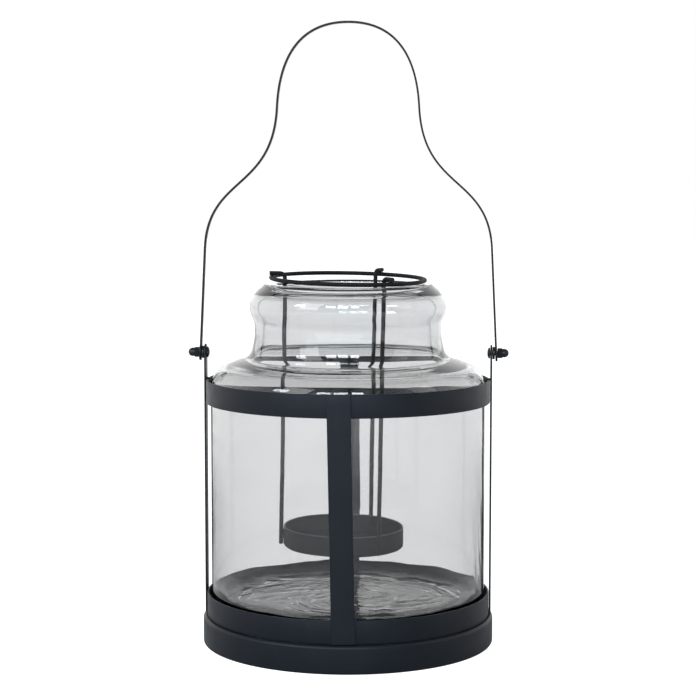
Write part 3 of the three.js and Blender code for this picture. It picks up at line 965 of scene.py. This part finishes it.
def studio_floor():
    """A plain white table top that runs out of sight. It glows evenly white to the camera and through the
    glass; in reflections and bounced light its glow is dim near the lantern, a painted shade, and brighter
    further out.
    """
    bm = bmesh.new()
    bmesh.ops.create_grid(bm, x_segments=8, y_segments=8, size=TABLE_REACH / MM)
    floor = finish_mesh("studio_floor", bm)
    n = Nodes("studio_floor")
    n.link(n.colours(n.noise(300, detail=2), (0.3, (0.44, 0.44, 0.44)), (0.7, (0.46, 0.46, 0.46))),
           n.shader.inputs["Base Color"])
    n.shader.inputs["Roughness"].default_value = 0.9
    n.shader.inputs["Specular IOR Level"].default_value = 0.1
    n.shader.inputs["Emission Color"].default_value = (1, 1, 1, 1)
    length = n.add("ShaderNodeVectorMath", Vector=n.coords)
    length.operation = "LENGTH"
    # Glow in reflections and bounced light: dim near the lantern as painted shade, brighter further out
    glow = map_range(n.tree, length.outputs["Value"], 0.3, 1.5, out_low=0.02, out_high=0.7)
    strength = by_ray(n.tree, camera=0.95, through=0.9, otherwise=glow)
    n.link(strength, n.shader.inputs["Emission Strength"])
    floor.data.materials.append(n.material)


def studio_world():
    """A white surround behind and beside the lantern, dimmer overhead and towards the front."""
    world = bpy.data.worlds.new("studio")
    bpy.context.scene.world = world
    world.use_nodes = True
    tree = world.node_tree
    where = tree.nodes.new("ShaderNodeTexCoord")
    split = tree.nodes.new("ShaderNodeSeparateXYZ")
    tree.links.new(where.outputs["Generated"], split.inputs[0])
    depth = map_range(tree, split.outputs["Y"], -0.75, 0.1, out_low=0.24, out_high=1.25)
    height = map_range(tree, split.outputs["Z"], 0.25, 0.8, out_low=1.0, out_high=0.5)
    both = tree.nodes.new("ShaderNodeMath")
    both.operation = "MULTIPLY"
    tree.links.new(depth, both.inputs[0])
    tree.links.new(height, both.inputs[1])
    strength = by_ray(tree, camera=1.0, through=1.0, otherwise=both.outputs[0])
    tree.links.new(strength, tree.nodes["Background"].inputs["Strength"])
    tree.nodes["Background"].inputs["Color"].default_value = (1, 1, 1, 1)


def lamp(name, place, aim, size, watts, colour=(1, 1, 1), glossy=True, through=False):
    """A rectangular soft light that the camera doesn't see.

    glossy and through say whether it shows in reflections and through the glass.
    """
    light = bpy.data.lights.new(name, "AREA")
    light.shape = "RECTANGLE"
    light.size, light.size_y = size
    light.energy = watts
    light.color = colour
    holder = bpy.data.objects.new(name, light)
    holder.location = place
    holder.rotation_euler = (Vector(aim) - Vector(place)).to_track_quat("-Z", "Y").to_euler()
    holder.visible_camera = False
    holder.visible_transmission = through
    holder.visible_glossy = glossy
    bpy.context.scene.collection.objects.link(holder)


def studio_lamps():
    """Soft lamps around the lantern, a bluish glow from the front, and four small windows."""
    lamp("soft_left", (-1.5, -1.5, 1.3), LAMP_AIM, size=(1.0, 1.4), watts=19)
    lamp("soft_right", (1.8, -0.6, 1.2), LAMP_AIM, size=(0.8, 1.2), watts=4)
    lamp("soft_top", (0, 0.4, 2.2), (0, 0, 0), size=(1.6, 1.6), watts=9, glossy=False)
    lamp("front_glow", (-0.35, -2.4, 0.35), LAMP_AIM, size=(4.2, 2.0), watts=52, colour=(0.60, 0.82, 1))
    for number, (turn, wide) in enumerate(WINDOWS):
        a = math.radians(turn)
        spot = (WINDOW_REACH * math.sin(a), -WINDOW_REACH * math.cos(a), WINDOW_Z)
        lamp(f"window_{number}", spot, LAMP_AIM, size=(wide, WINDOW_H), watts=12, colour=(0.85, 0.93, 1),
             through=True)


def camera():
    """The view of the lantern from a little above its waist, almost straight from the front."""
    data = bpy.data.cameras.new("view")
    data.sensor_width = CAMERA_SENSOR
    data.lens = CAMERA_LENS
    holder = bpy.data.objects.new("view", data)
    holder.location = CAMERA_PLACE
    holder.rotation_euler = (Vector(CAMERA_AIM) - holder.location).to_track_quat("-Z", "Y").to_euler()
    bpy.context.scene.collection.objects.link(holder)
    bpy.context.scene.camera = holder


studio_floor()
studio_world()
studio_lamps()
camera()
bpy.context.scene.view_settings.view_transform = "Standard"
